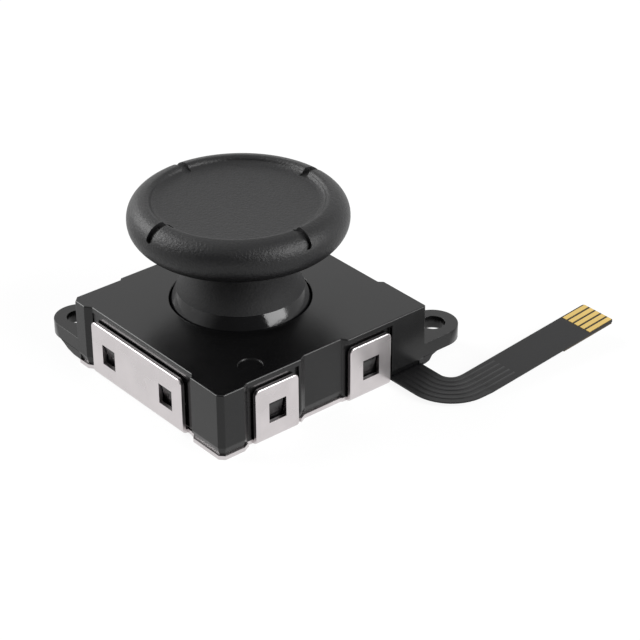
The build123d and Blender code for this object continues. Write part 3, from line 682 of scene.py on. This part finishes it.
class STICK_OT_tail(bpy.types.Operator):
    """Raise the conductors on the tail, spread the contacts and finish the films"""
    bl_idname = "stick.tail"
    bl_label = "Flex tail"
    bl_options = {"REGISTER", "UNDO"}

    def execute(self, context):
        s = context.scene.stick_tail
        black = film("Flex film", s.film_colour, 0.36)
        tracks = joined([self.conductor(s, i) for i in range(CONDUCTORS)])
        tracks.name = "tail_conductors"
        tracks.data.name = "tail_conductors"
        apply_modifier(tracks, "SOLIDIFY", thickness=0.03 * MM, offset=-1)
        round_edges(tracks, 0.012, 40)
        smooth_by_angle(tracks, 50)
        give(tracks, black)
        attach(tracks, "base")
        give(NODES["flex_circuit"], black)
        pads = self.pads(s)
        give(pads, metal("Plated gold", s.gold_colour, 0.24, lines=0.04))
        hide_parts("contact_fingers")
        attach(pads, "base")
        give(NODES["tail_stiffener"], film("Stiffener film", (0.05, 0.035, 0.018), 0.45))
        return {"FINISHED"}

    def pads(self, s):
        """The contacts, spread to the film's two edges."""
        low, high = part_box("contact_fingers")
        middle = (low[1] + high[1]) / 2
        pads = merged_copy("contact_fingers", "contact_pads")
        for vertex in pads.data.vertices:
            away = vertex.co.y - middle
            index = round(away / (PAD_PITCH * MM))
            within = (away - index * PAD_PITCH * MM) * s.pad_width / PAD_WIDTH
            vertex.co.y = middle + index * s.pad_pitch * MM + within
        return pads

    def conductor(self, s, index):
        """One conductor: a strip drawn along the tail, spun round its bend and sunk in the leg."""
        across = (index - (CONDUCTORS - 1) / 2) * CONDUCTOR_PITCH
        x = TAIL_X + across
        z = TAIL_TOP + s.conductor_rise
        share = (across + TAIL_WIDTH / 2) / TAIL_WIDTH
        centre = [outer + share * (inner - outer) for outer, inner in zip(OUTER_BEND, INNER_BEND)]
        clear_selection()
        bpy.ops.mesh.primitive_plane_add(size=1 * MM, location=(x * MM, TAIL_START * MM, z * MM))
        strip = bpy.context.object
        strip.scale = (s.conductor_width, STRIP_LENGTH, 1)
        place_in_mesh(strip)
        bpy.ops.object.mode_set(mode="EDIT")
        select_edges(strip, lambda a, b: a.y < TAIL_START and b.y < TAIL_START)
        extrude(0, centre[1] - (TAIL_START - STRIP_LENGTH / 2), 0)
        bpy.ops.mesh.spin(steps=16, angle=math.radians(90), axis=(0, 0, -1),
                          center=(centre[0] * MM, centre[1] * MM, z * MM))
        extrude(TAIL_FLAT_X - centre[0], 0, 0)
        run = CONDUCTOR_END - TAIL_FLAT_X
        extrude(run, 0, run * TAIL_SLOPE - s.conductor_rise - CONDUCTOR_SINK)
        merge_doubles()
        bpy.ops.mesh.normals_make_consistent(inside=False)
        mesh = bmesh.from_edit_mesh(strip.data)
        if sum(face.normal.z for face in mesh.faces) < 0:
            bpy.ops.mesh.flip_normals()
        bpy.ops.object.mode_set(mode="OBJECT")
        return strip


class STICK_OT_inside(bpy.types.Operator):
    """Finish the pieces of the mechanism and copy the snap dome and its film"""
    bl_idname = "stick.inside"
    bl_label = "Mechanism finishes"
    bl_options = {"REGISTER", "UNDO"}

    def execute(self, context):
        ivory = plastic("Frame acetal", (0.62, 0.61, 0.56), 0.42, size=6000, depth=0.15)
        dark = plastic("Rocker plastic", (0.03, 0.03, 0.032), 0.38, size=7000, depth=0.2)
        pale = plastic("Bush acetal", (0.50, 0.50, 0.47), 0.36, size=6000, depth=0.15)
        carrier = plastic("Carrier plastic", (0.66, 0.65, 0.60), 0.42, size=6000, depth=0.15)
        spring = metal("Spring steel", (0.60, 0.60, 0.61), 0.22, lines=0.05)
        bronze = metal("Contact bronze", (0.72, 0.46, 0.24), 0.28, lines=0.05)
        carbon = plastic("Carbon ink", (0.012, 0.012, 0.012), 0.6, size=12000, depth=0.3)
        amber = film("Cover film", (0.45, 0.28, 0.06), 0.22, alpha=0.75)
        for material, names in (
            (ivory, ("gimbal_frame",)),
            (dark, ("lower_rocker", "upper_rocker")),
            (pale, ("pivot_bush", "centring_foot")),
            (carrier, ("x_slider", "y_slider")),
            (spring, ("centring_spring",)),
            (bronze, ("x_wiper", "y_wiper")),
            (carbon, ("carbon_tracks_x", "carbon_tracks_y")),
        ):
            for name in names:
                give(NODES[name], material)
        for node_name, name, material, slot in (
            ("click_dome", "snap_dome", spring, "spring_steel"),
            ("dome_film", "snap_dome_film", amber, "cover_film"),
        ):
            piece = merged_copy(node_name, name)
            smooth_by_angle(piece, 40)
            give(piece, material)
            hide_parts(node_name)
            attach(piece, "base")
            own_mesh(piece)
        return {"FINISHED"}


class STICK_OT_stage(bpy.types.Operator):
    """Set up the camera, the lamps, the world and a plain floor"""
    bl_idname = "stick.stage"
    bl_label = "Studio"
    bl_options = {"REGISTER", "UNDO"}

    def execute(self, context):
        s = context.scene.stick_stage
        self.camera(context)
        self.world(context, s.fill)
        self.lamp(context, "Left lamp", LEFT_LAMP, s.left_power)
        self.lamp(context, "Right lamp", RIGHT_LAMP, s.right_power)
        self.floor(s.floor_colour)
        context.scene.view_settings.view_transform = "Standard"
        return {"FINISHED"}

    def camera(self, context):
        """Camera at the place from which the photograph was taken."""
        data = bpy.data.cameras.new("Photo camera")
        data.lens = CAMERA_LENS
        data.sensor_width = 36
        data.clip_start = 0.005
        data.clip_end = 10
        camera = bpy.data.objects.new("Photo camera", data)
        context.scene.collection.objects.link(camera)
        ce, se = math.cos(CAMERA_PITCH), math.sin(CAMERA_PITCH)
        ca, sa = math.cos(CAMERA_YAW), math.sin(CAMERA_YAW)
        back = Vector((sa * ce, -ca * ce, se))
        right = Vector((ca, sa, 0))
        up = back.cross(right)
        cr, sr = math.cos(CAMERA_ROLL), math.sin(CAMERA_ROLL)
        right, up = cr * right + sr * up, -sr * right + cr * up
        turn = Matrix((right, up, back)).transposed().to_4x4()
        camera.matrix_world = Matrix.Translation(Vector(CAMERA_PLACE) * MM) @ turn
        context.scene.camera = camera

    def world(self, context, fill):
        """White for the camera, dimmer in reflections of the near side, an even level for light."""
        world = bpy.data.worlds.new("Studio")
        context.scene.world = world
        world.use_nodes = True
        tree = world.node_tree
        background = tree.nodes["Background"]
        background.inputs["Color"].default_value = (1, 1, 1, 1)
        path = add_node(tree, "LightPath")
        seen = add_node(tree, "Math", operation="MAXIMUM")
        seen_all = add_node(tree, "Math", operation="MAXIMUM")
        level = add_node(tree, "MapRange", {"To Min": fill, "To Max": 1.0})
        direction = add_node(tree, "TexCoord")
        facing = add_node(tree, "VectorMath", {1: NEAR_SIDE}, operation="DOT_PRODUCT")
        dim = add_node(tree, "MapRange", {"From Min": 0.30, "From Max": 0.75, "To Max": 0.90})
        mirrored = add_node(tree, "Math", operation="MULTIPLY")
        left_over = add_node(tree, "Math", {0: 1.0}, operation="SUBTRACT")
        strength = add_node(tree, "Math", operation="MULTIPLY")
        wire(tree,
             (path, "Is Camera Ray", seen, 0), (path, "Is Glossy Ray", seen, 1),
             (seen, 0, seen_all, 0), (path, "Is Transmission Ray", seen_all, 1),
             (seen_all, 0, level, "Value"),
             (direction, "Generated", facing, 0), (facing, "Value", dim, "Value"),
             (dim, "Result", mirrored, 0), (path, "Is Glossy Ray", mirrored, 1),
             (mirrored, 0, left_over, 1),
             (level, "Result", strength, 0), (left_over, 0, strength, 1),
             (strength, 0, background, "Strength"))

    def lamp(self, context, name, place_and_size, power):
        """A soft lamp that faces the object."""
        place, size = place_and_size
        data = bpy.data.lights.new(name, "AREA")
        data.shape = "RECTANGLE"
        data.size, data.size_y = size
        data.energy = power
        lamp = bpy.data.objects.new(name, data)
        context.scene.collection.objects.link(lamp)
        lamp.location = place
        aim = Vector(LAMP_AIM) - Vector(place)
        lamp.rotation_euler = aim.to_track_quat("-Z", "Y").to_euler()

    def floor(self, colour):
        """A wide floor, kept white to the camera but for the object's shadow."""
        clear_selection()
        bpy.ops.mesh.primitive_plane_add(size=FLOOR_SIZE, location=(0, 0, FLOOR_Z))
        floor = bpy.context.object
        floor.name = "studio_floor"
        place_in_mesh(floor)
        material, tree, shader = new_material("Floor", {
            "Roughness": 0.8, "Specular IOR Level": 0.0, "Base Color": (*colour, 1)})
        path = add_node(tree, "LightPath")
        seen = add_node(tree, "Math", operation="MAXIMUM")
        share = add_node(tree, "Math", {1: 0.88}, operation="MULTIPLY")
        glow = add_node(tree, "Emission", {"Color": (1, 1, 1, 1), "Strength": 1.03})
        mix = add_node(tree, "MixShader")
        wire(tree,
             (path, "Is Camera Ray", seen, 0), (path, "Is Glossy Ray", seen, 1),
             (seen, 0, share, 0), (share, 0, mix, "Fac"),
             (shader, "BSDF", mix, 1), (glow, "Emission", mix, 2),
             (mix, "Shader", tree.nodes["Material Output"], "Surface"))
        give(floor, material)


class STICK_PT_panel(bpy.types.Panel):
    """Settings and steps of the stick module"""
    bl_label = "Stick module"
    bl_idname = "STICK_PT_panel"
    bl_space_type = "VIEW_3D"
    bl_region_type = "UI"
    bl_category = "Stick"

    def draw(self, context):
        for group, operator in STEPS:
            box = self.layout.box()
            if group:
                settings = getattr(context.scene, group)
                for key in settings.__annotations__:
                    box.prop(settings, key)
            box.operator(operator)


STEPS = [
    ("stick_cap", "stick.cap"),
    ("stick_skirt", "stick.skirt"),
    ("stick_shell", "stick.shell"),
    ("stick_tail", "stick.tail"),
    (None, "stick.inside"),
    ("stick_stage", "stick.stage"),
]
GROUPS = {
    "stick_cap": STICK_PG_cap,
    "stick_skirt": STICK_PG_skirt,
    "stick_shell": STICK_PG_shell,
    "stick_tail": STICK_PG_tail,
    "stick_stage": STICK_PG_stage,
}
OPERATORS = [STICK_OT_cap, STICK_OT_skirt, STICK_OT_shell, STICK_OT_tail, STICK_OT_inside,
             STICK_OT_stage]


def register():
    """Registers the settings, operators and panel."""
    for name, group in GROUPS.items():
        bpy.utils.register_class(group)
        setattr(bpy.types.Scene, name, PointerProperty(type=group))
    for operator in OPERATORS:
        bpy.utils.register_class(operator)
    bpy.utils.register_class(STICK_PT_panel)


def unregister():
    """Takes everything out again."""
    bpy.utils.unregister_class(STICK_PT_panel)
    for operator in reversed(OPERATORS):
        bpy.utils.unregister_class(operator)
    for name, group in GROUPS.items():
        delattr(bpy.types.Scene, name)
        bpy.utils.unregister_class(group)


def main():
    """Makes every piece in order."""
    register()
    bpy.ops.stick.cap()
    bpy.ops.stick.skirt()
    bpy.ops.stick.shell()
    bpy.ops.stick.tail()
    bpy.ops.stick.inside()
    bpy.ops.stick.stage()


if __name__ == "__main__":
    main()
